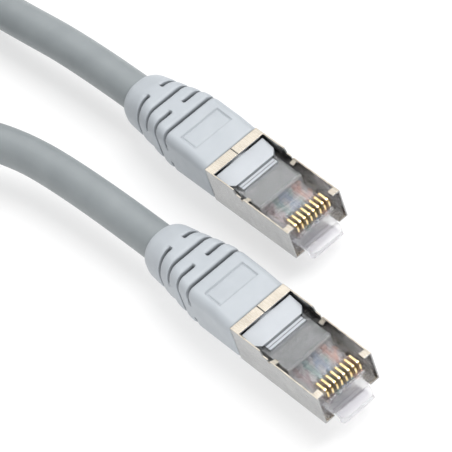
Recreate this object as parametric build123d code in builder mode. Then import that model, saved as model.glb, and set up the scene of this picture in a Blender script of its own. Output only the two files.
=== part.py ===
"""Shielded Ethernet patch cable: two 8-contact modular plugs, their moulded boots and the cord between them.

The plugs lie side by side with their contacts up and their noses towards +X, one plug ahead of the other.
Sub-parts of a plug are drawn in the plug's own axes: x = 0 at its nose, y = 0 at its middle and z = 0 at
the underside of its shield. The spare cord is wound into a tied hank behind the plugs.
"""

import os
from math import cos, pi, radians, sin, tan

from build123d import *

# Where the plugs lie
PLUG_SPACING = 20.1
PLUG_STAGGER = 30.1
PLUG_FLOOR = 4.45  # height of a plug's underside, set by its relaxed latch

# Shield, folded from sheet
SHIELD_WIDTH = 11.9
SHIELD_LENGTH = 21.45
SHEET = 0.25
NOSE_HEIGHT = 6.45
WALL_HEIGHT = 6.9
REAR_HEIGHT = 7.9
JOG_X = -13.4
JOG_RUN = 0.5
STRIP_LENGTH = 2.1
SEAM = 0.16
TAB_FRONT, TAB_LENGTH, TAB_REACH = -0.1, 1.4, 1.25
LANCE_X, LANCE_LENGTH, LANCE_REACH = -11.2, 1.0, 0.95
LANCE_ROOT, LANCE_TIP = 6.8, 6.42
NOTCH_LENGTH, NOTCH_DEPTH = 0.6, 0.6
LATCH_GAP_HALF = 4.0
LATCH_GAP_LENGTH = 9.5
TONGUE_HALF = 2.4
BARREL_START, BARREL_END = -24.6, -28.6
BARREL_INNER, BARREL_OUTER = 3.56, 3.82

# Clear housing
PRESS_GAP = 0.03  # between the housing and the shield or mould it holds
SHIELD_HALF = SHIELD_WIDTH / 2 - SHEET
HOUSING_HALF = SHIELD_HALF - PRESS_GAP
HOUSING_FLOOR = SHEET + PRESS_GAP
HOUSING_TOP = 6.15
HOUSING_REAR = -19.3
ROOF_REAR = -13.8
SLOT_REAR, SLOT_HALF, SLOT_FLOOR = -15.5, 4.0, 6.0
BAND_GAP = 0.26
ROOF = 0.7
CAVITY_HALF = 4.75
CAVITY_FLOOR = 1.2
CAVITY_FRONT = -8.6
POST_RADIUS = 1.0
PIP_X, PIP_Y, PIP_RADIUS = -6.1, 4.4, 0.45
LIP_HALF, LIP_FRONT, LIP_TOP, LIP_BOTTOM = 3.6, 1.7, 0.3, -1.6
LIP_CORNER = 1.2
NOSE_CHAMFER = 0.35

# Contacts and conductors
CONTACTS = 8
PITCH = 1.02
BLADE = 0.35
BLADE_REAR, BLADE_FRONT = -3.5, -0.45
BLADE_TOP, BLADE_FOOT, BLADE_TIP = 5.85, 4.3, 3.25
BLADE_ROUND = 0.7
TIP_REAR, TIP_FRONT = -2.9, -1.1
SLOT = 0.78
SLOT_FRONT_FLOOR = 3.9
WIRE = 0.92
WIRE_Z = 3.2
WIRE_FRONT = -0.75
WIRE_SPREAD_X, WIRE_LEVEL_X, WIRE_GATHER_X = -9.2, -12.6, -18.0
WIRE_STEP = 0.62
WIRE_COLUMN = 1.12
WIRE_BEND = 4.0

# Latch, hinged under the nose
HINGE_X, HINGE_Z = -0.35, -1.05
KNUCKLE = 0.7
CLEARANCE = 0.12
LATCH_ANGLE = 12.0
LATCH_HALF, TAIL_HALF = 3.0, 1.6
LATCH_SHOULDER, LATCH_LENGTH = 8.0, 14.0
LATCH_THICK, SHOULDER_THICK = 1.0, 1.5

# Grey inner mould and boot
MOULD_HALF = 5.35
CAP_REAR_TOP, CAP_FRONT_TOP = 7.2, 6.35
MOULD_REAR, MOULD_FRONT = -22.6, -9.0
MOULD_CHAMFER = 1.0
BOOT_LENGTH = 26.0
BOOT_BLOCK = 11.1
BOOT_WIDTH, BOOT_HEIGHT, BOOT_CORNER = 12.4, 8.5, 1.5
BLOCK_RISE = 1.1  # the block's top climbs by this much from its front to its grooves
COLLAR_WIDTH, COLLAR_HEIGHT, COLLAR_CORNER, COLLAR_ROUND = 9.9, 9.0, 3.9, 0.9
GROOVES = 4
GROOVE_PITCH = 3.05
GROOVE = 0.75
GROOVE_DEPTH = 0.95
BRIDGE = 2.9
PANEL_LENGTH, PANEL_WIDTH, PANEL_DEPTH = 4.0, 8.4, 0.12
PANEL_FROM_FRONT = 6.1

# Cord and its hank
CORD = 7.0
BORE_GAP = 0.05
FOLD_RADIUS = 21.0
TURN_STEP = 7.0
HANK_STRAIGHT = 40.0
HANK_X, HANK_Y = -116.0, -17.0
HANK_HEIGHT = 15.0
HANK_SLACK = 0.4
TIE_WIDTH, TIE_THICK = 4.0, 0.6
TIE_TAIL_LENGTH, TIE_TAIL_WIDTH, TIE_TAIL_THICK = 9.0, 2.2, 1.2

AXIS_Z = REAR_HEIGHT / 2
BOOT_FRONT = -SHIELD_LENGTH
BOOT_REAR = -SHIELD_LENGTH - BOOT_LENGTH
NOSE_B_X = (-BOOT_REAR - PLUG_STAGGER - LIP_FRONT) / 2
NOSE_A_X = NOSE_B_X + PLUG_STAGGER
PLUGS = {
    "a": Vector(NOSE_A_X, -PLUG_SPACING / 2, PLUG_FLOOR),
    "b": Vector(NOSE_B_X, PLUG_SPACING / 2, PLUG_FLOOR),
}


def side_plane(at):
    """Sketches on it are drawn as (x, z) in the plug's axes."""
    return Plane(at, x_dir=(1, 0, 0), z_dir=(0, -1, 0))


def front_plane(at, x):
    """Sketches on it are drawn as (y, z) in the plug's axes."""
    return Plane(at + Vector(x, 0, 0), x_dir=(0, 1, 0), z_dir=(1, 0, 0))


def slab(at, x, y, z, mode=Mode.ADD):
    """A block between the low and high values of x, y and z."""
    with BuildSketch(Plane(at + Vector(0, 0, z[0]))) as plan:
        with Locations(((x[0] + x[1]) / 2, (y[0] + y[1]) / 2)):
            Rectangle(x[1] - x[0], y[1] - y[0])
    extrude(plan.sketch, amount=z[1] - z[0], mode=mode)


def profile(at, points, half_width, mode=Mode.ADD):
    """An outline in the side view, given thickness to both sides of the plug's middle."""
    with BuildSketch(side_plane(at)) as outline:
        with BuildLine():
            Polyline(*points, close=True)
        make_face()
    extrude(outline.sketch, amount=half_width, both=True, mode=mode)


def save(piece, name):
    piece.part.label = name
    export_step(piece.part, f"parts/{name}.step")


def contact_y(number):
    return ((CONTACTS + 1) / 2 - number) * PITCH


def make_shield(at, name):
    outer = [
        (0, 0),
        (0, NOSE_HEIGHT),
        (JOG_X, WALL_HEIGHT),
        (JOG_X - JOG_RUN, REAR_HEIGHT),
        (-SHIELD_LENGTH, REAR_HEIGHT),
        (-SHIELD_LENGTH, 0),
    ]
    half = SHIELD_WIDTH / 2
    strip_front = -SHIELD_LENGTH + STRIP_LENGTH
    with BuildPart() as shield:
        profile(at, outer, half)
        long_way = (-SHIELD_LENGTH - 1, 1)
        across = (-SHIELD_HALF, SHIELD_HALF)
        slab(at, long_way, across, (SHEET, REAR_HEIGHT - SHEET), Mode.SUBTRACT)
        slab(at, (strip_front, 1), across, (SHEET, REAR_HEIGHT + 1), Mode.SUBTRACT)
        seam = (-SEAM / 2, SEAM / 2)
        slab(at, (-SHIELD_LENGTH - 1, strip_front + 1), seam, (AXIS_Z, REAR_HEIGHT + 1), Mode.SUBTRACT)
        gap = (-LATCH_GAP_HALF, LATCH_GAP_HALF)
        slab(at, (-LATCH_GAP_LENGTH, 1), gap, (-1, SHEET), Mode.SUBTRACT)
        for side in (-1, 1):
            tab = sorted((side * (SHIELD_HALF - TAB_REACH), side * half))
            slab(at, (TAB_FRONT - TAB_LENGTH, TAB_FRONT), tab, (NOSE_HEIGHT - SHEET, NOSE_HEIGHT))
            notch_rear = LANCE_X - LANCE_LENGTH / 2 - NOTCH_LENGTH
            notch_y = sorted((side * SHIELD_HALF, side * half))
            notch_z = (LANCE_ROOT - NOTCH_DEPTH, REAR_HEIGHT)
            slab(at, (notch_rear, notch_rear + NOTCH_LENGTH), notch_y, notch_z, Mode.SUBTRACT)
            tip_y = SHIELD_HALF - LANCE_REACH
            lance = [
                (side * half, LANCE_ROOT),
                (side * tip_y, LANCE_TIP),
                (side * tip_y, LANCE_TIP - SHEET),
                (side * half, LANCE_ROOT - SHEET),
            ]
            with BuildSketch(front_plane(at, LANCE_X)) as tongue:
                with BuildLine():
                    Polyline(*lance, close=True)
                make_face()
            extrude(tongue.sketch, amount=LANCE_LENGTH / 2, both=True)
        slab(at, (BARREL_END, -SHIELD_LENGTH), (-TONGUE_HALF, TONGUE_HALF), (0, SHEET))
        with BuildSketch(front_plane(at, BARREL_END)) as barrel:
            with Locations((0, AXIS_Z)):
                Circle(BARREL_OUTER)
                Circle(BARREL_INNER, mode=Mode.SUBTRACT)
        extrude(barrel.sketch, amount=BARREL_START - BARREL_END)
    save(shield, name)


def make_lip(at):
    """The rounded lip under the nose that the latch hangs from."""
    outline = [
        (-1.2, HOUSING_FLOOR + 0.1),
        (0, NOSE_CHAMFER + LIP_TOP),
        (LIP_FRONT * 0.5, LIP_TOP * 0.5),
        (LIP_FRONT, -LIP_TOP),
        (LIP_FRONT, LIP_BOTTOM + 0.5),
        (LIP_FRONT * 0.75, LIP_BOTTOM),
        (HINGE_X + 0.3, LIP_BOTTOM),
        (HINGE_X, HINGE_Z),
        (-1.2, HINGE_Z + KNUCKLE + 0.2),
    ]
    with BuildPart() as lip:
        profile(at, outline, LIP_HALF)
        front_corners = lip.edges().filter_by(Axis.Z).group_by(Axis.X)[-1]
        fillet(front_corners, LIP_CORNER)
    return lip.part


def make_housing(at, name):
    across = (-HOUSING_HALF, HOUSING_HALF)
    with BuildPart() as housing:
        slab(at, (HOUSING_REAR, 0), across, (HOUSING_FLOOR, HOUSING_TOP))
        corners = housing.edges().filter_by(Axis.Z).group_by(Axis.X)[-1]
        fillet(corners, POST_RADIUS)
        slab(at, (HOUSING_REAR, SLOT_REAR), across, (HOUSING_TOP - ROOF, HOUSING_TOP), Mode.SUBTRACT)
        slot_half = (-SLOT_HALF, SLOT_HALF)
        slab(at, (SLOT_REAR, ROOF_REAR), slot_half, (HOUSING_TOP - ROOF, HOUSING_TOP), Mode.SUBTRACT)
        cavity = (-CAVITY_HALF, CAVITY_HALF)
        slab(at, (HOUSING_REAR, CAVITY_FRONT), cavity, (CAVITY_FLOOR, HOUSING_TOP - ROOF), Mode.SUBTRACT)
        wires = CONTACTS / 2 * PITCH
        tunnel = (WIRE_Z - PITCH / 2, WIRE_Z + PITCH / 2)
        slab(at, (CAVITY_FRONT, WIRE_FRONT), (-wires, wires), tunnel, Mode.SUBTRACT)
        for number in range(1, CONTACTS + 1):
            y = contact_y(number)
            slot = (y - SLOT / 2, y + SLOT / 2)
            slot_x = (BLADE_REAR - 0.1, BLADE_FRONT + 0.1)
            slab(at, slot_x, slot, (WIRE_Z, HOUSING_TOP), Mode.SUBTRACT)
            slab(at, (BLADE_FRONT, 0), slot, (SLOT_FRONT_FLOOR, HOUSING_TOP), Mode.SUBTRACT)
        front_bottom = housing.edges().filter_by(Axis.Y).group_by(Axis.X)[-1].sort_by(Axis.Z)[0]
        chamfer(front_bottom, NOSE_CHAMFER)
        add(make_lip(at))
        with BuildSketch(side_plane(at)) as socket:
            with Locations((HINGE_X, HINGE_Z)):
                Circle(KNUCKLE + CLEARANCE)
        extrude(socket.sketch, amount=LIP_HALF + 1, both=True, mode=Mode.SUBTRACT)
        with BuildSketch(Plane(at + Vector(0, 0, HOUSING_TOP))) as pips:
            with Locations((PIP_X, -PIP_Y), (PIP_X, PIP_Y)):
                Circle(PIP_RADIUS)
        extrude(pips.sketch, amount=PIP_RADIUS / 2, taper=20)
    save(housing, name)


def latch_point(along, off):
    """A point of the latch, measured along its arm from the hinge and off to its upper side, at rest."""
    turn = radians(180 + LATCH_ANGLE)
    return (
        HINGE_X + along * cos(turn) - off * sin(turn),
        HINGE_Z + along * sin(turn) - off * cos(turn),
    )


def make_latch(at, name):
    top = LATCH_THICK / 2
    wide = [
        latch_point(0, top),
        latch_point(LATCH_SHOULDER, top),
        latch_point(LATCH_SHOULDER, top - SHOULDER_THICK),
        latch_point(0, -top),
    ]
    narrow = [
        latch_point(LATCH_SHOULDER - 1, top),
        latch_point(LATCH_LENGTH, top),
        latch_point(LATCH_LENGTH, -top),
        latch_point(LATCH_SHOULDER - 1, -top),
    ]
    with BuildPart() as latch:
        with BuildSketch(side_plane(at)) as knuckle:
            with Locations((HINGE_X, HINGE_Z)):
                Circle(KNUCKLE)
        extrude(knuckle.sketch, amount=LATCH_HALF, both=True)
        profile(at, wide, LATCH_HALF)
        profile(at, narrow, TAIL_HALF)
        tail_end = latch.edges().filter_by(Axis.Y).group_by(Axis.X)[0]
        fillet(tail_end, 0.35)
    save(latch, name)


def make_contact(at, number, name):
    blade = [
        (BLADE_REAR, BLADE_FOOT),
        (BLADE_REAR, BLADE_TOP),
        (BLADE_FRONT, BLADE_TOP),
        (BLADE_FRONT, BLADE_FOOT),
        (TIP_FRONT, BLADE_FOOT),
        (TIP_FRONT, BLADE_TIP),
        (TIP_REAR, BLADE_TIP),
        (TIP_REAR, BLADE_FOOT),
    ]
    middle = at + Vector(0, contact_y(number), 0)
    with BuildPart() as contact:
        profile(middle, blade, BLADE / 2)
        shoulders = contact.edges().filter_by(Axis.Y).group_by(Axis.Z)[-1]
        fillet(shoulders, BLADE_ROUND)
    save(contact, name)
    return contact.part


def wire_route(at, number):
    """A conductor's line: level under its contact, then up or down a row and in to the cord's middle."""
    y = contact_y(number)
    row = 1 if number % 2 else -1
    column = (2.5 - (number + 1) // 2) * WIRE_COLUMN
    z = AXIS_Z + row * WIRE_STEP
    return [
        at + Vector(WIRE_FRONT, y, WIRE_Z),
        at + Vector(WIRE_SPREAD_X, y, WIRE_Z),
        at + Vector(WIRE_LEVEL_X, y, z),
        at + Vector(WIRE_GATHER_X, column, z),
        at + Vector(MOULD_REAR, column, z),
    ]


def make_conductor(at, number, blade, name):
    with BuildPart() as conductor:
        with BuildLine() as path:
            FilletPolyline(*wire_route(at, number), radius=WIRE_BEND)
        with BuildSketch(path.line ^ 0):
            Circle(WIRE / 2)
        sweep()
        add(blade, mode=Mode.SUBTRACT)
    save(conductor, name)
    return conductor.part


def make_inner_mould(at, wires, name):
    """The grey block round the conductors: wide under the strip, and narrower inside the housing."""
    under_roof = HOUSING_TOP - ROOF - PRESS_GAP
    core_half = CAVITY_HALF - PRESS_GAP
    core = (CAVITY_FLOOR + PRESS_GAP, under_roof)
    with BuildPart() as mould:
        cap = [
            (HOUSING_REAR, under_roof),
            (HOUSING_REAR, CAP_REAR_TOP),
            (SLOT_REAR, CAP_FRONT_TOP),
            (SLOT_REAR, under_roof),
        ]
        profile(at, cap, MOULD_HALF)
        chamfer(mould.edges().filter_by(Axis.Z).group_by(Axis.X)[-1], MOULD_CHAMFER)
        slab(at, (HOUSING_REAR, MOULD_FRONT), (-core_half, core_half), core)
        band = (-SLOT_HALF + PRESS_GAP, SLOT_HALF - PRESS_GAP)
        middle = (SLOT_REAR + ROOF_REAR) / 2
        rear_rib = (SLOT_REAR + BAND_GAP, middle - BAND_GAP / 4)
        front_rib = (middle + BAND_GAP / 4, ROOF_REAR - BAND_GAP)
        for rib in (rear_rib, front_rib):
            slab(at, rib, band, (under_roof, SLOT_FLOOR))
        with BuildSketch(front_plane(at, MOULD_REAR)) as root:
            with Locations((0, AXIS_Z)):
                Circle(CORD / 2)
        extrude(root.sketch, amount=HOUSING_REAR - MOULD_REAR)
        for wire in wires:
            add(wire, mode=Mode.SUBTRACT)
    save(mould, name)


def groove_cutter(at, number):
    """One groove round the boot, odd ones joined across at the sides and even ones at the top and bottom."""
    x = BOOT_FRONT - BOOT_BLOCK - (number - 1) * GROOVE_PITCH
    share = (x - BOOT_FRONT + BOOT_BLOCK) / (BOOT_REAR - BOOT_FRONT + BOOT_BLOCK)
    width = BOOT_WIDTH + share * (COLLAR_WIDTH - BOOT_WIDTH) - 2 * GROOVE_DEPTH
    block_height = BOOT_HEIGHT + BLOCK_RISE
    height = block_height + share * (COLLAR_HEIGHT - block_height) - 2 * GROOVE_DEPTH
    middle_z = AXIS_Z + BLOCK_RISE / 2 * (1 - share)
    with BuildPart() as cutter:
        with BuildSketch(front_plane(at, x - GROOVE / 2)) as ring:
            with Locations((0, middle_z)):
                Rectangle(2 * BOOT_WIDTH, 2 * BOOT_HEIGHT)
                RectangleRounded(width, height, BOOT_CORNER, mode=Mode.SUBTRACT)
                if number % 2:
                    Rectangle(2 * BOOT_WIDTH, BRIDGE, mode=Mode.SUBTRACT)
                else:
                    Rectangle(BRIDGE, 2 * BOOT_HEIGHT, mode=Mode.SUBTRACT)
        extrude(ring.sketch, amount=GROOVE)
    return cutter.part


def make_boot(at, name):
    cutters = [groove_cutter(at, number) for number in range(1, GROOVES + 1)]
    block_rear = BOOT_FRONT - BOOT_BLOCK
    with BuildPart() as boot:
        for x, rise in ((BOOT_FRONT, 0), (block_rear, BLOCK_RISE)):
            with BuildSketch(front_plane(at, x)):
                with Locations((0, AXIS_Z + rise / 2)):
                    RectangleRounded(BOOT_WIDTH, BOOT_HEIGHT + rise, BOOT_CORNER)
        loft()
        with BuildSketch(front_plane(at, block_rear)):
            with Locations((0, AXIS_Z + BLOCK_RISE / 2)):
                RectangleRounded(BOOT_WIDTH, BOOT_HEIGHT + BLOCK_RISE, BOOT_CORNER)
        with BuildSketch(front_plane(at, BOOT_REAR)):
            with Locations((0, AXIS_Z)):
                RectangleRounded(COLLAR_WIDTH, COLLAR_HEIGHT, COLLAR_CORNER)
        loft()
        fillet(boot.faces().sort_by(Axis.X)[0].edges(), COLLAR_ROUND)
        for cutter in cutters:
            add(cutter, mode=Mode.SUBTRACT)
        with BuildSketch(front_plane(at, BOOT_REAR)) as bore:
            with Locations((0, AXIS_Z)):
                Circle(CORD / 2 + BORE_GAP)
        extrude(bore.sketch, amount=BOOT_LENGTH, mode=Mode.SUBTRACT)
        with BuildSketch(front_plane(at, BARREL_END - 0.1)) as seat:
            with Locations((0, AXIS_Z)):
                Circle(BARREL_OUTER + 0.05)
        extrude(seat.sketch, amount=BOOT_FRONT - BARREL_END + 0.1, mode=Mode.SUBTRACT)
        tongue = (-TONGUE_HALF - 0.05, TONGUE_HALF + 0.05)
        slab(at, (BARREL_END - 0.1, BOOT_FRONT), tongue, (-0.05, AXIS_Z), Mode.SUBTRACT)
        panel_middle = BOOT_FRONT - PANEL_FROM_FRONT
        panel_x = (panel_middle - PANEL_LENGTH / 2, panel_middle + PANEL_LENGTH / 2)
        top = AXIS_Z + BOOT_HEIGHT / 2 + BLOCK_RISE * PANEL_FROM_FRONT / BOOT_BLOCK
        panel_y = (-PANEL_WIDTH / 2, PANEL_WIDTH / 2)
        slab(at, panel_x, panel_y, (top - PANEL_DEPTH, top + 1), Mode.SUBTRACT)
    save(boot, name)


def make_plug(at, tag):
    make_shield(at, f"shield_{tag}")
    make_housing(at, f"housing_{tag}")
    make_latch(at, f"latch_{tag}")
    wires = []
    for number in range(1, CONTACTS + 1):
        blade = make_contact(at, number, f"contact_{tag}{number}")
        wires.append(make_conductor(at, number, blade, f"conductor_{tag}{number}"))
    make_inner_mould(at, wires, f"inner_mould_{tag}")
    make_boot(at, f"boot_{tag}")
    make_cord_end(at, f"cord_end_{tag}")


def corner_radii(route):
    """At each corner, the largest arc that leaves a tenth of the shorter run straight."""
    radii = []
    for before, corner, after in zip(route, route[1:], route[2:]):
        shorter = min((corner - before).length, (after - corner).length)
        turn = (corner - before).get_angle(after - corner)
        radii.append(0.45 * shorter / tan(radians(turn / 2)))
    return radii


def make_tube(route, radii):
    with BuildPart() as tube:
        with BuildLine() as path:
            FilletPolyline(*route, radius=radii)
        with BuildSketch(path.line ^ 0):
            Circle(CORD / 2)
        sweep()
    length = sum(edge.length for edge in path.edges())
    section_volume = pi * CORD**2 / 4 * length
    print(f"tube {length:.1f} mm, volume {tube.part.volume / section_volume:.4f} of its section")
    print("  radii", [round(radius, 1) for radius in radii])
    return tube


def cord_start(at):
    return at + Vector(BOOT_REAR, 0, AXIS_Z)


def make_cord_end(at, name):
    """The end of the sheath, held in the shield's barrel inside the boot."""
    with BuildPart() as end:
        with BuildSketch(front_plane(at, BOOT_REAR)):
            with Locations((0, AXIS_Z)):
                Circle(CORD / 2)
        extrude(amount=MOULD_REAR - BOOT_REAR)
    save(end, name)


# The stretches that aren't coiled, from each plug to the hank, chosen by hand
ROUTE_A = [
    cord_start(PLUGS["a"]),
    Vector(-30, -10.05, 8.4),
    Vector(-52, -12.1, 8.5),
    Vector(-72, -22.0, 9.0),
    Vector(-88, -36.0, 9.9),
    Vector(-104, -44.2, 10.5),
    Vector(-122, -45.0, 10.6),
]
ROUTE_B = [
    cord_start(PLUGS["b"]),
    Vector(-57, 10.05, 8.4),
    Vector(-75, 8.5, 7.9),
    Vector(-91, 8.4, 5.5),
    Vector(-107, 10.2, 3.8),
    Vector(-122, 11.0, 3.6),
]
CUT_RUN_A, CUT_RUN_B = 3, 2


def hank_plan(radius):
    """The stadium that a turn of this radius lies on, seen from above."""
    with Locations((HANK_X - HANK_STRAIGHT / 2, HANK_Y)):
        SlotCenterToCenter(HANK_STRAIGHT, 2 * radius)


def tie_section(growth):
    RectangleRounded(2 * TURN_STEP + 2 * growth, HANK_HEIGHT - TIE_THICK + 2 * growth - 0.1, 2.0)


def tie_plane(side):
    """Across one side of the hank, at the middle of its straight."""
    middle_y = HANK_Y + side * (FOLD_RADIUS + TURN_STEP / 2)
    origin = (HANK_X - HANK_STRAIGHT / 2, middle_y, (HANK_HEIGHT + TIE_THICK) / 2)
    return Plane(origin, x_dir=(0, 1, 0), z_dir=(1, 0, 0))


def make_tie(side, name):
    with BuildPart() as tie:
        with BuildSketch(tie_plane(side)) as band:
            tie_section(TIE_THICK)
            with BuildSketch(mode=Mode.PRIVATE) as inside:
                tie_section(0)
            add(inside.sketch, mode=Mode.SUBTRACT)
        extrude(band.sketch, amount=TIE_WIDTH / 2, both=True)
        tail_at = tie_plane(side).origin + Vector(0, 0, (HANK_HEIGHT + TIE_THICK) / 2 - TIE_TAIL_THICK / 2)
        tail_x = (TIE_WIDTH / 2 - 0.1, TIE_WIDTH / 2 + TIE_TAIL_LENGTH)
        tail_y = (-TIE_TAIL_WIDTH / 2, TIE_TAIL_WIDTH / 2)
        slab(tail_at, tail_x, tail_y, (0, TIE_TAIL_THICK))
    save(tie, name)
    return tie.part


def make_hank(tails, ties):
    outer = FOLD_RADIUS + TURN_STEP + CORD / 2 + HANK_SLACK
    inner = FOLD_RADIUS - CORD / 2 - HANK_SLACK
    with BuildPart() as hank:
        with BuildSketch() as plan:
            hank_plan(outer)
        extrude(plan.sketch, amount=HANK_HEIGHT)
        with BuildSketch() as hole:
            hank_plan(inner)
        extrude(hole.sketch, amount=HANK_HEIGHT, mode=Mode.SUBTRACT)
        fillet(hank.edges().group_by(Axis.Z)[-1], 2.5)
        for tail in tails:
            add(tail)
        for tie in ties:
            add(tie, mode=Mode.SUBTRACT)
    save(hank, "cord_hank")


def make_cord():
    tails = []
    for tag, route, cut in (("a", ROUTE_A, CUT_RUN_A), ("b", ROUTE_B, CUT_RUN_B)):
        radii = corner_radii(route)
        middle = (route[cut] + route[cut + 1]) / 2
        run = make_tube([*route[: cut + 1], middle], radii[:cut])
        save(run, f"cord_run_{tag}")
        tails.append(make_tube([middle, *route[cut + 1 :]], radii[cut:]).part)
    ties = [make_tie(side, name) for side, name in ((-1, "hank_tie_a"), (1, "hank_tie_b"))]
    make_hank(tails, ties)


os.makedirs("parts", exist_ok=True)
for tag, at in PLUGS.items():
    make_plug(at, tag)
make_cord()
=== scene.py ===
"""Looks for a shielded Ethernet patch cable: cord, boots, ties, materials, light and camera, in metres."""

from math import atan2, cos, pi, radians, sin, sqrt

import bmesh
import bpy
from mathutils import Matrix, Vector


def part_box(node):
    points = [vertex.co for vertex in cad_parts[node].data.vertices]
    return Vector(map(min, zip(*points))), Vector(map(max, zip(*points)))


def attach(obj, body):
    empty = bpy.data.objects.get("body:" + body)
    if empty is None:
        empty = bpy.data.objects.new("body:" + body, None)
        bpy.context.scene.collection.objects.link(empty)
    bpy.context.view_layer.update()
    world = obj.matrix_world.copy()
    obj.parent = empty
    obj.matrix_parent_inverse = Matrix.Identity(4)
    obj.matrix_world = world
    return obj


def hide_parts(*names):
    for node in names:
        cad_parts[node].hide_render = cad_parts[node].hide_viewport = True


MM = 0.001
BODY = "cable"

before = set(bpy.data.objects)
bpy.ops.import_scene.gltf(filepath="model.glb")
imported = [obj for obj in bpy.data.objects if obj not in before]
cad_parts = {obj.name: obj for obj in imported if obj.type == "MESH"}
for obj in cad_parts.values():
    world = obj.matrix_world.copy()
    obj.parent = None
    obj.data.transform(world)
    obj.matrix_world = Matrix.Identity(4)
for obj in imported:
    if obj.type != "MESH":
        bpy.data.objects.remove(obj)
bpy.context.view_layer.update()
scene = bpy.context.scene
scene.view_settings.view_transform = "Standard"


# ---------------------------------------------------------------- camera


def place_camera():
    """A long lens above and in front of the plugs, rolled so that they point down to the right."""
    azimuth, elevation, roll = radians(64.83), radians(46.8), radians(-20.79)
    target, distance = Vector((-4.195, -0.35, 8.45)) * MM, 551.49 * MM
    back = Vector((sin(azimuth) * cos(elevation), -cos(azimuth) * cos(elevation), sin(elevation)))
    level = Vector((cos(azimuth), sin(azimuth), 0))
    above = back.cross(level)
    right = cos(roll) * level + sin(roll) * above
    up = cos(roll) * above - sin(roll) * level
    data = bpy.data.cameras.new("camera")
    data.sensor_width = 36
    data.lens = 259.8
    data.clip_start, data.clip_end = 0.01, 20
    camera = bpy.data.objects.new("camera", data)
    turned = Matrix((right, up, back)).transposed().to_4x4()
    camera.matrix_world = Matrix.Translation(target + back * distance) @ turned
    scene.collection.objects.link(camera)
    scene.camera = camera


place_camera()


# ---------------------------------------------------------------- cord

CORD = 7.0
HANK_Y, NEAR_X, FAR_X = -17.0, -116.0, -156.0
TIE_X = (NEAR_X + FAR_X) / 2
TIE_LIFT = 0.85
BEND_EXTRA = 0.7
BEND_STEPS, BEND_STEP = 13, 15  # points round half a turn, and degrees between them
OUTSIDE_TIES = 10
LOW, HIGH = 3.6, 10.6
INNER, OUTER = 21.0, 28.0

ROUTE_A = [
    (-9.525, -10.05, 8.4),
    (-30, -10.05, 8.4),
    (-52, -12.1, 8.5),
    (-72, -22.0, 9.0),
    (-88, -36.0, 9.9),
    (-104, -44.2, 10.5),
    (-122, -45.0, 10.6),
]
ROUTE_B = [
    (-39.625, 10.05, 8.4),
    (-57, 10.05, 8.4),
    (-75, 8.5, 7.9),
    (-91, 8.4, 5.5),
    (-107, 10.2, 3.8),
    (-122, 11.0, 3.6),
]


def straight(side, out, z, towards_far):
    """Three points along one side of the hank, lifted where the tie passes underneath."""
    steps = (NEAR_X - OUTSIDE_TIES, TIE_X, FAR_X + OUTSIDE_TIES)
    y = HANK_Y + side * out
    line = [(x, y, z + (TIE_LIFT if x == TIE_X else 0)) for x in steps]
    return line if towards_far else line[::-1]


def far_bend(out, z):
    """Half a turn at the far end, from the -Y side to the +Y side."""
    radius = out + BEND_EXTRA
    turn = [radians(BEND_STEP * step) for step in range(BEND_STEPS)]
    return [(FAR_X - radius * sin(phi), HANK_Y - radius * cos(phi), z) for phi in turn]


def near_bend(start, end, first, last):
    """Half a turn at the near end, from +Y to -Y, that changes its place in the bundle between two angles."""
    bend = []
    for step in range(BEND_STEPS):
        degrees = BEND_STEP * step
        share = min(1, max(0, (degrees - first) / (last - first)))
        out = start[0] + share * (end[0] - start[0]) + BEND_EXTRA
        z = start[1] + share * (end[1] - start[1])
        phi = radians(degrees)
        bend.append((NEAR_X + out * sin(phi), HANK_Y + out * cos(phi), z))
    return bend


def cord_points():
    """From plug A, three and a half turns of the hank from its top layer down, then to plug B."""
    top_out, top_in, low_in, low_out = (OUTER, HIGH), (INNER, HIGH), (INNER, LOW), (OUTER, LOW)
    points = [*ROUTE_A, *straight(-1, *top_out, True)[1:], *far_bend(*top_out)]
    for place, following, first, last in (
        (top_out, top_in, 95, 160),
        (top_in, low_in, 50, 130),
        (low_in, low_out, 0, 90),
    ):
        points += straight(1, *place, False)
        points += near_bend(place, following, first, last)
        points += straight(-1, *following, True)
        points += far_bend(*following)
    return points + straight(1, *low_out, False)[:2] + ROUTE_B[::-1]


def make_cord():
    """One tube along the whole route, and the place where it leaves plug A's boot."""
    data = bpy.data.curves.new("cord", "CURVE")
    data.dimensions = "3D"
    spline = data.splines.new("NURBS")
    points = cord_points()
    spline.points.add(len(points) - 1)
    for point, place in zip(spline.points, points):
        point.co = (*(Vector(place) * MM), 1)
        point.radius = CORD / 2 * MM
    spline.order_u = 3
    spline.use_endpoint_u = True
    spline.resolution_u = 10
    data.bevel_depth = 1
    data.bevel_resolution = 8
    data.use_fill_caps = True
    cord = bpy.data.objects.new("cord", data)
    scene.collection.objects.link(cord)
    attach(cord, BODY)
    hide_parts("cord_run_a", "cord_run_b", "cord_hank")
    return cord, Vector(points[0]) * MM


cord, cord_exit = make_cord()


# ---------------------------------------------------------------- meshes

CORNER_STEPS, SIDE_STEPS = 14, 60
SHARP_ANGLE = 40


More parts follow.
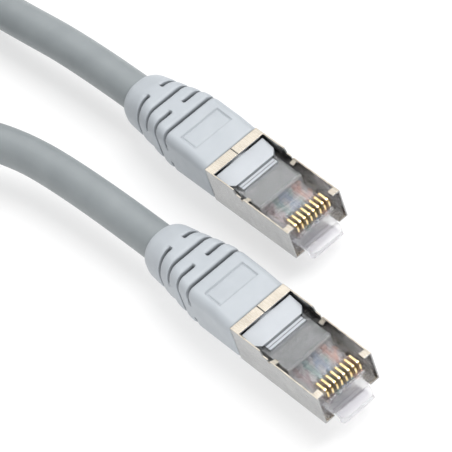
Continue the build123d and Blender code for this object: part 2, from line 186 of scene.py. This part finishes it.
def mesh_object(name, rings, closed, replaced):
    """A closed skin over rings of equal count. A closed run of rings joins its last to its first."""
    mesh = bmesh.new()
    rows = [[mesh.verts.new(point) for point in ring] for ring in rings]
    count = len(rows[0])
    following = rows[1:] + rows[:1] if closed else rows[1:]
    for row, onward in zip(rows, following):
        for i in range(count):
            j = (i + 1) % count
            mesh.faces.new((row[i], row[j], onward[j], onward[i]))
    if not closed:
        mesh.faces.new(rows[0][::-1])
        mesh.faces.new(rows[-1])
    bmesh.ops.recalc_face_normals(mesh, faces=mesh.faces)
    data = bpy.data.meshes.new(name)
    mesh.to_mesh(data)
    mesh.free()
    data.shade_smooth()
    data.set_sharp_from_angle(angle=radians(SHARP_ANGLE))
    piece = bpy.data.objects.new(name, data)
    scene.collection.objects.link(piece)
    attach(piece, BODY)
    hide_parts(*replaced)
    return piece


def smooth(low, high, value):
    """A soft step from 0 to 1 between two values."""
    share = min(1, max(0, (value - low) / (high - low)))
    return share * share * (3 - 2 * share)


def section(half_width, half_height, corner):
    """Points round a rounded rectangle with their outward directions, both as (y, z)."""
    flat_y, flat_z = half_width - corner, half_height - corner
    centres = ((flat_y, flat_z), (-flat_y, flat_z), (-flat_y, -flat_z), (flat_y, -flat_z))
    points = []
    for turn, (y, z) in enumerate(centres):
        next_y, next_z = centres[(turn + 1) % 4]
        for step in range(CORNER_STEPS):
            phi = (turn + step / CORNER_STEPS) * pi / 2
            points.append((y + corner * cos(phi), z + corner * sin(phi), cos(phi), sin(phi)))
        phi = (turn + 1) * pi / 2
        for step in range(SIDE_STEPS):
            share = step / SIDE_STEPS
            side_y = y + share * (next_y - y) + corner * cos(phi)
            side_z = z + share * (next_z - z) + corner * sin(phi)
            points.append((side_y, side_z, cos(phi), sin(phi)))
    return points


# ---------------------------------------------------------------- boots

BOOT_LENGTH, BLOCK = 26.0, 11.1
FRONT_HALF_WIDTH, FRONT_HALF_HEIGHT, FRONT_CORNER = 6.2, 4.25, 1.6
COLLAR_NARROWS, COLLAR_RISES, COLLAR_ROUNDS = 1.3, 0.2, 2.4
FRONT_ROUND, FRONT_ROUND_DEPTH = 0.5, 0.4
GROOVES = [BLOCK + 3.05 * number for number in range(4)]
GROOVE_HALF, GROOVE_DEPTH = 0.31, 1.2
CREST, CREST_DROP = 0.75, 0.32
BRIDGE_HALF = 1.45
PANEL_MIDDLE, PANEL_HALF_LENGTH, PANEL_HALF_WIDTH = 6.1, 2.0, 4.2
DOME = 2.6
RISE_REACH = 4.3
MOUTH, BORE, SEAT, SEAT_END = 3.75, 3.52, 3.88, 7.2


def boot_size(back):
    """Half width, half height and corner radius of the boot's outside, this far behind its front."""
    share = max(0, (back - BLOCK) / (BOOT_LENGTH - BLOCK))
    width = FRONT_HALF_WIDTH - COLLAR_NARROWS * share
    height = FRONT_HALF_HEIGHT + COLLAR_RISES * share
    corner = FRONT_CORNER + COLLAR_ROUNDS * smooth(0, 0.8, share)
    into_dome = max(0, (back - BOOT_LENGTH + DOME) / DOME)
    bulge = sqrt(max(0, 1 - into_dome**2.2))
    width = MOUTH + (width - MOUTH) * bulge
    height = MOUTH + (height - MOUTH) * bulge
    corner += (MOUTH - corner) * smooth(0, 1, into_dome)
    return width, height, min(corner, width, height)


def top_rise(back):
    """How much higher the boot's top is here than at its front, where it meets the shield."""
    climb = 0.75 * smooth(0, 5, back) + 0.4 * smooth(3, 12, back)
    return climb * (1 - smooth(GROOVES[-1], BOOT_LENGTH, back))


def boot_inset(back, y, z, upward):
    """How far the boot's skin lies inside its plain section."""
    inset = 0.0
    if back < FRONT_ROUND:
        inset += FRONT_ROUND_DEPTH * (1 - sqrt(1 - (1 - back / FRONT_ROUND) ** 2))
    for number, middle in enumerate(GROOVES):
        away = abs(back - middle)
        if away > GROOVE_HALF + CREST:
            continue
        across = abs(y) if number % 2 else abs(z)
        cut = smooth(BRIDGE_HALF - 0.2, BRIDGE_HALF + 0.2, across)
        slot = 1 - smooth(GROOVE_HALF - 0.06, GROOVE_HALF + 0.06, away)
        climb = min(1, max(0, (away - GROOVE_HALF) / CREST))
        crest = 1 - sqrt(1 - (1 - climb) ** 2)
        inset += cut * (GROOVE_DEPTH * slot + CREST_DROP * crest * (1 - slot))
    if upward > 0.9:
        edge = max(abs(back - PANEL_MIDDLE) - PANEL_HALF_LENGTH, abs(y) - PANEL_HALF_WIDTH)
        line = max(0, 1 - abs(edge + 0.15) / 0.22)
        inset += 0.1 * (1 - smooth(-0.1, 0.12, edge)) + 0.13 * smooth(0, 1, line)
    return inset


def boot_stations():
    """Distances behind the front at which the skin has a ring, closest where its shape turns fastest."""
    backs = [0, 0.04, 0.1, 0.18, 0.3, 0.5, 1, 1.7, 2.5, 3.2]
    for edge in (PANEL_MIDDLE - PANEL_HALF_LENGTH, PANEL_MIDDLE + PANEL_HALF_LENGTH):
        backs += [edge + offset for offset in (-0.45, -0.3, -0.18, -0.08, 0, 0.1, 0.2, 0.32, 0.5)]
    backs += [5.2, 5.9, 6.6, 7.1, 9.3, 9.6]
    for middle in GROOVES:
        for offset in (0, 0.14, 0.24, 0.28, 0.33, 0.37, 0.41, 0.48, 0.58, 0.72, 0.9, 1.1, 1.3, 1.5):
            backs += [middle - offset, middle + offset]
    dome = [BOOT_LENGTH - DOME * (1 - sin(step * pi / 28)) for step in range(15)]
    backs = [back for back in backs if back < dome[0] - 0.1] + dome
    return sorted(set(round(back, 3) for back in backs))


def make_boot(tag):
    """The boot's skin, with the bore for the cord and the wider seat for the shield's barrel."""
    low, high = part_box(f"boot_{tag}")
    front, middle = high.x, (low + high) / 2
    axis_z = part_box(f"cord_end_{tag}")[0].z + CORD / 2 * MM

    def place(back, y, z):
        lifted = z * (1 + top_rise(back) / RISE_REACH) if z > 0 else z
        return Vector((front - back * MM, middle.y + y * MM, axis_z + lifted * MM))

    rings = []
    for back in boot_stations():
        ring = []
        for y, z, out_y, out_z in section(*boot_size(back)):
            inset = boot_inset(back, y, z, out_z)
            ring.append(place(back, y - out_y * inset, z - out_z * inset))
        rings.append(ring)
    angles = [atan2(z, y) for y, z, _, _ in section(*boot_size(0))]
    inside = (
        (BOOT_LENGTH - 0.12, BORE + 0.1),
        (BOOT_LENGTH - 0.3, BORE),
        (SEAT_END, BORE),
        (SEAT_END, SEAT),
        (0, SEAT),
    )
    for back, radius in inside:
        rings.append([place(back, radius * cos(angle), radius * sin(angle)) for angle in angles])
    return mesh_object(f"moulded_boot_{tag}", rings, True, [f"boot_{tag}"])


boots = [make_boot(tag) for tag in "ab"]


# ---------------------------------------------------------------- ties

BUNDLE_HALF, TIE_CORNER = 7.12, 3.6
RIBBON_HALF, RIBBON_THICK, CORE_RISE = 2.0, 0.35, 0.28
BAND_RISE = 0.65
TWIST_LENGTH, TWIST_TURNS, TWIST_STEPS = 9.0, 3.5, 90
TWIST_START_X, TWIST_Z = 0.8, 15.62


def make_tie_band(tag, side):
    """A coated-wire ribbon once round the bundle."""
    middle = Vector((TIE_X, HANK_Y + side * (INNER + OUTER) / 2, (LOW + HIGH) / 2 + BAND_RISE))
    profile = []
    for step in range(13):
        x = RIBBON_HALF * (step / 6 - 1)
        rise = RIBBON_THICK * (1 - (x / RIBBON_HALF) ** 8) + CORE_RISE * max(0, 1 - (x / 0.6) ** 2)
        profile.append((x, max(0.08, rise)))
    profile += [(RIBBON_HALF * (1 - step / 6), 0) for step in range(13)]
    rings = []
    for y, z, out_y, out_z in section(BUNDLE_HALF, BUNDLE_HALF, TIE_CORNER)[::3]:
        ring = [middle + Vector((x, y + out_y * rise, z + out_z * rise)) for x, rise in profile]
        rings.append([point * MM for point in ring])
    return mesh_object(f"tie_band_{tag}", rings, True, [f"hank_tie_{tag}"])


def make_tie_twist(tag, side):
    """The ribbon's two ends, twisted together on top of the bundle."""
    start = Vector((TIE_X + TWIST_START_X, HANK_Y + side * (INNER + OUTER) / 2, TWIST_Z))
    rings = []
    for step in range(TWIST_STEPS + 1):
        share = step / TWIST_STEPS
        turned = TWIST_TURNS * 2 * pi * share
        size = 0.35 + 0.65 * smooth(0, 0.06, share) * (1 - 0.8 * smooth(0.95, 1, share))
        ring = []
        for point in range(24):
            phi = point * pi / 12
            radius = size * (0.33 + 0.27 * cos(phi) ** 2)
            y, z = radius * cos(phi + turned), radius * sin(phi + turned)
            ring.append(start + Vector((share * TWIST_LENGTH, y, z)))
        rings.append([point * MM for point in ring])
    return mesh_object(f"tie_twist_{tag}", rings, False, [])


ties = [make(tag, side) for tag, side in (("a", -1), ("b", 1)) for make in (make_tie_band, make_tie_twist)]


# ---------------------------------------------------------------- materials

PALE_SHEATH, DEEP_SHEATH = (0.262, 0.286, 0.296), (0.235, 0.258, 0.268)
WAVES_ALONG, WAVES_AROUND = 95, 2
STRIPE_PITCH = 3.2
PALE_BOOT, DEEP_BOOT = (0.43, 0.46, 0.49), (0.40, 0.43, 0.46)
PALE_MOULD, DEEP_MOULD = (0.46, 0.485, 0.515), (0.43, 0.455, 0.485)


class Recipe:
    """A node material round one Principled shader. Positions are the object's own, in metres."""

    def __init__(self, name, **settings):
        self.material = bpy.data.materials.new(name)
        self.material.use_nodes = True
        self.tree = self.material.node_tree
        self.shader = self.tree.nodes["Principled BSDF"]
        for key, value in settings.items():
            self.shader.inputs[key.replace("_", " ")].default_value = value
        self.place = self.node("ShaderNodeTexCoord").outputs["Object"]

    def node(self, kind, inputs=(), **attributes):
        made = self.tree.nodes.new(kind)
        for key, value in attributes.items():
            setattr(made, key, value)
        for key, value in dict(inputs).items():
            self.feed(made.inputs[key], value)
        return made

    def feed(self, socket, value):
        if isinstance(value, bpy.types.NodeSocket):
            self.tree.links.new(value, socket)
        else:
            socket.default_value = value

    def noise(self, size, detail=3.0, stretch=(1, 1, 1)):
        """Noise whose features are about this many millimetres across."""
        mapped = self.node("ShaderNodeMapping", {"Vector": self.place, "Scale": stretch})
        made = self.node(
            "ShaderNodeTexNoise",
            {"Vector": mapped.outputs["Vector"], "Scale": 1 / (size * MM), "Detail": detail},
        )
        return made.outputs["Fac"]

    def spread(self, factor, low, high):
        """The middle of a 0 to 1 factor, stretched to lie between two values."""
        made = self.node(
            "ShaderNodeMapRange",
            {"Value": factor, "From Min": 0.3, "From Max": 0.7, "To Min": low, "To Max": high},
        )
        return made.outputs["Result"]

    def ramp(self, value, low, high):
        """0 up to one value, 1 from the other, and in proportion between them."""
        made = self.node("ShaderNodeMapRange", {"Value": value, "From Min": low, "From Max": high})
        return made.outputs["Result"]

    def mix(self, factor, first, second):
        made = self.node("ShaderNodeMix", data_type="RGBA")
        self.feed(made.inputs[0], factor)
        self.feed(made.inputs[6], first)
        self.feed(made.inputs[7], second)
        return made.outputs[2]

    def math(self, operation, first, second=0.0):
        made = self.node("ShaderNodeMath", operation=operation)
        self.feed(made.inputs[0], first)
        self.feed(made.inputs[1], second)
        return made.outputs[0]

    def axis(self, name, vector=None):
        split = self.node("ShaderNodeSeparateXYZ", {"Vector": vector or self.place})
        return split.outputs[name]

    def bump(self, height, distance, strength=1.0, normal=None):
        inputs = {"Height": height, "Distance": distance * MM, "Strength": strength}
        if normal:
            inputs["Normal"] = normal
        return self.node("ShaderNodeBump", inputs).outputs["Normal"]

    def set(self, **links):
        for key, value in links.items():
            self.feed(self.shader.inputs[key.replace("_", " ")], value)
        return self.material


def grey_moulding(name, pale, deep, roughness, grain, reach=1.0):
    """Moulded PVC: faint mottling, a fine spark-eroded grain, slightly uneven gloss, and painted shade that
    darkens its grooves and crevices.
    """
    recipe = Recipe(name, IOR=1.52, Specular_IOR_Level=0.42)
    mottle = recipe.noise(4.0, 4.0)
    fine = recipe.noise(0.22, 2.0)
    colour = recipe.mix(recipe.spread(mottle, 0, 1), (*deep, 1), (*pale, 1))
    # Painted shade: the colour darkens towards a near-black grey where the ambient-occlusion node finds
    # surfaces close by, in grooves and crevices.
    crevice = recipe.node("ShaderNodeAmbientOcclusion", {"Distance": reach * MM}, samples=6).outputs["AO"]
    open_air = recipe.ramp(crevice, 0.1, 0.75)
    painted_crevice_shade = (*[0.22 * part for part in deep], 1)
    colour = recipe.mix(open_air, painted_crevice_shade, colour)
    normal = recipe.bump(fine, grain, 0.5)
    normal = recipe.bump(recipe.noise(2.4, 2.0), 0.03, 0.6, normal)
    return recipe.set(
        Base_Color=colour,
        Roughness=recipe.spread(recipe.noise(1.2), roughness - 0.05, roughness + 0.06),
        Normal=normal,
    )


def cord_sheath(name):
    """The jacket: satin PVC that shows the twist of the pairs under it as long slanting waves."""
    recipe = Recipe(name, IOR=1.52, Specular_IOR_Level=0.4)
    mottle = recipe.noise(5.0, 4.0)
    colour = recipe.mix(recipe.spread(mottle, 0, 1), (*DEEP_SHEATH, 1), (*PALE_SHEATH, 1))
    uv = recipe.node("ShaderNodeTexCoord").outputs["UV"]
    along = recipe.math("MULTIPLY", recipe.axis("X", uv), 2 * pi * WAVES_ALONG)
    around = recipe.math("MULTIPLY", recipe.axis("Y", uv), 2 * pi * WAVES_AROUND)
    wave = recipe.math("SINE", recipe.math("ADD", along, around))
    normal = recipe.bump(wave, 0.09, 0.5)
    normal = recipe.bump(recipe.noise(0.25, 2.0), 0.01, 0.5, normal)
    return recipe.set(Base_Color=colour, Roughness=recipe.spread(recipe.noise(1.5), 0.4, 0.52), Normal=normal)


def nickel(name):
    """Satin nickel on folded sheet: drawn lines along it, and a painted warm reflection that makes the faces
    that look up lighter and warmer than the rest.
    """
    recipe = Recipe(name, Metallic=1.0)
    lines = recipe.noise(0.12, 3.0, (0.08, 1, 1))
    cloud = recipe.noise(3.0, 4.0)
    # Painted reflection: faces that look up get a lighter, warmer nickel, and all other faces get a darker
    # grey.
    grey = recipe.mix(recipe.spread(cloud, 0, 1), (0.40, 0.40, 0.40, 1), (0.48, 0.48, 0.475, 1))
    painted_warm_reflection = recipe.mix(recipe.spread(cloud, 0, 1), (0.50, 0.455, 0.39, 1), (0.60, 0.55, 0.47, 1))
    facing = recipe.axis("Z", recipe.node("ShaderNodeNewGeometry").outputs["Normal"])
    upward = recipe.ramp(facing, 0.8, 0.95)
    colour = recipe.mix(upward, grey, painted_warm_reflection)
    folds = recipe.node("ShaderNodeBevel", {"Radius": 0.12 * MM}, samples=4).outputs["Normal"]
    roughness = recipe.math("ADD", recipe.spread(lines, 0.2, 0.34), recipe.spread(cloud, -0.03, 0.03))
    return recipe.set(Base_Color=colour, Roughness=roughness, Normal=recipe.bump(lines, 0.004, 0.4, folds))


def clear_moulding(name, tint, roughness, clear, solid, speck):
    """Polycarbonate: clear, with flow marks, darker specks and fine scuffs, and milky under the plug."""
    recipe = Recipe(
        name, IOR=1.5, Transmission_Weight=clear, Alpha=solid, Coat_Weight=0.6, Coat_Roughness=0.08
    )
    flow = recipe.noise(2.2, 3.0, (0.5, 1, 1))
    colour = recipe.mix(recipe.spread(flow, 0, 1), (*[0.97 * part for part in tint], 1), (*tint, 1))
    specks = recipe.noise(0.7, 2.0)
    dots = recipe.ramp(specks, 0.56, 0.66)
    colour = recipe.mix(dots, colour, (*[speck * part for part in tint], 1))
    folds = recipe.node("ShaderNodeBevel", {"Radius": 0.18 * MM}, samples=4).outputs["Normal"]
    normal = recipe.bump(flow, 0.05, 0.5, folds)
    normal = recipe.bump(specks, 0.16, 0.8, normal)
    scuffs = recipe.spread(recipe.noise(0.3), roughness, roughness + 0.06)
    low = recipe.ramp(recipe.axis("Z"), 4.95 * MM, 4.65 * MM)
    milky = recipe.mix(low, colour, (0.93, 0.92, 0.96, 1))
    rough = recipe.math("ADD", scuffs, recipe.math("MULTIPLY", low, 0.35))
    return recipe.set(Base_Color=milky, Roughness=rough, Normal=normal)


def gold(name):
    """Gold over nickel, with drawn lines along the blade."""
    recipe = Recipe(name, Metallic=1.0)
    lines = recipe.noise(0.06, 3.0, (0.1, 1, 1))
    cloud = recipe.noise(0.8)
    colour = recipe.mix(recipe.spread(cloud, 0, 1), (0.86, 0.62, 0.28, 1), (1.0, 0.82, 0.48, 1))
    return recipe.set(
        Base_Color=colour,
        Roughness=recipe.spread(lines, 0.16, 0.3),
        Normal=recipe.bump(lines, 0.003, 0.4),
    )


def wire(name, colour, stripe=None):
    """Insulation on a conductor. A white one carries a slanting stripe of its partner's colour."""
    recipe = Recipe(name, IOR=1.5)
    mottle = recipe.spread(recipe.noise(0.6), 0, 1)
    shade = recipe.mix(mottle, (*[0.88 * part for part in colour], 1), (*colour, 1))
    if stripe:
        slant = recipe.math("ADD", recipe.axis("X"), recipe.axis("Z"))
        turns = recipe.math("SINE", recipe.math("MULTIPLY", slant, 2 * pi / (STRIPE_PITCH * MM)))
        band = recipe.ramp(turns, 0.35, 0.5)
        shade = recipe.mix(band, shade, (*stripe, 1))
    return recipe.set(
        Base_Color=shade,
        Roughness=recipe.spread(recipe.noise(0.4), 0.32, 0.45),
        Normal=recipe.bump(recipe.noise(0.15, 2.0), 0.01, 0.4),
    )


def black_tie(name):
    """The ribbon's black coating, lightly scuffed."""
    recipe = Recipe(name, IOR=1.5)
    scuff = recipe.spread(recipe.noise(0.5, 5.0), 0, 1)
    colour = recipe.mix(scuff, (0.012, 0.012, 0.014, 1), (0.035, 0.035, 0.038, 1))
    return recipe.set(
        Base_Color=colour,
        Roughness=recipe.spread(recipe.noise(0.3), 0.32, 0.5),
        Normal=recipe.bump(recipe.noise(0.2), 0.02, 0.5),
    )


ORANGE, GREEN = (0.58, 0.33, 0.27), (0.24, 0.35, 0.34)
BLUE, BROWN = (0.25, 0.31, 0.42), (0.30, 0.21, 0.22)
WHITE = (0.46, 0.44, 0.45)
MATERIALS = {
    "cord": cord_sheath("cord_sheath"),
    "sheath_end": grey_moulding("sheath_end", PALE_SHEATH, DEEP_SHEATH, 0.45, 0.01),
    "boot": grey_moulding("boot_moulding", PALE_BOOT, DEEP_BOOT, 0.48, 0.012),
    "inner_mould": grey_moulding("inner_moulding", PALE_MOULD, DEEP_MOULD, 0.42, 0.008, 0.15),
    "shield": nickel("shield_nickel"),
    "housing": clear_moulding("housing_clear", (0.95, 0.945, 0.95), 0.04, 1.0, 0.46, 0.62),
    "latch": clear_moulding("latch_clear", (0.95, 0.94, 0.97), 0.22, 0.35, 0.85, 0.9),
    "contact": gold("contact_gold"),
    "tie": black_tie("tie_coating"),
}
WIRES = [
    wire("wire_white_orange", WHITE, ORANGE),
    wire("wire_orange", ORANGE),
    wire("wire_white_green", WHITE, GREEN),
    wire("wire_blue", BLUE),
    wire("wire_white_blue", WHITE, BLUE),
    wire("wire_green", GREEN),
    wire("wire_white_brown", WHITE, BROWN),
    wire("wire_brown", BROWN),
]


def paint(piece, material):
    """Gives a piece its one material."""
    piece.data.materials.clear()
    piece.data.materials.append(material)


paint(cord, MATERIALS["cord"])
for boot in boots:
    paint(boot, MATERIALS["boot"])
for tie in ties:
    paint(tie, MATERIALS["tie"])
for name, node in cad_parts.items():
    kind = name.rsplit("_", 1)[0]
    if kind == "conductor":
        paint(node, WIRES[int(name[-1]) - 1])
    elif kind == "cord_end":
        paint(node, MATERIALS["sheath_end"])
    elif kind in MATERIALS:
        paint(node, MATERIALS[kind])


# ---------------------------------------------------------------- floor and light

FLOOR_HALF = 3  # metres
FLOOR_GAP = 0.05


def make_floor():
    """A plain white sheet under the cable, lit evenly from within so that its shadows stay faint."""
    mesh = bmesh.new()
    bmesh.ops.create_grid(mesh, x_segments=8, y_segments=8, size=FLOOR_HALF)
    data = bpy.data.meshes.new("floor")
    mesh.to_mesh(data)
    mesh.free()
    floor = bpy.data.objects.new("floor", data)
    floor.location.z = -FLOOR_GAP * MM
    scene.collection.objects.link(floor)
    recipe = Recipe("floor_paper", Roughness=0.9, Specular_IOR_Level=0.1, Emission_Strength=0.6)
    recipe.set(Base_Color=(0.4, 0.4, 0.4, 1), Emission_Color=(1, 1, 1, 1))
    paint(floor, recipe.material)


def make_light(name, place, target, size, power):
    """A square soft light, its size in metres and its power in watts."""
    data = bpy.data.lights.new(name, "AREA")
    data.shape = "SQUARE"
    data.size = size
    data.energy = power
    light = bpy.data.objects.new(name, data)
    light.location = place
    light.rotation_euler = (Vector(target) - Vector(place)).to_track_quat("-Z", "Y").to_euler()
    scene.collection.objects.link(light)


def make_world():
    """Even white light from all round."""
    world = bpy.data.worlds.new("studio")
    world.use_nodes = True
    world.node_tree.nodes["Background"].inputs["Color"].default_value = (1, 1, 1, 1)
    world.node_tree.nodes["Background"].inputs["Strength"].default_value = 0.35
    scene.world = world


make_floor()
make_world()
make_light("key", (0.02, 0.25, 0.6), (0, 0, 0), 0.45, 4)
make_light("card", (-0.62, 0.29, 0.73), (0, 0, 0), 0.9, 3.0)
make_light("front", (0.25, -0.25, 0.16), (0.03, 0, 0), 0.2, 0.6)


# ---------------------------------------------------------------- close

bpy.context.view_layer.update()
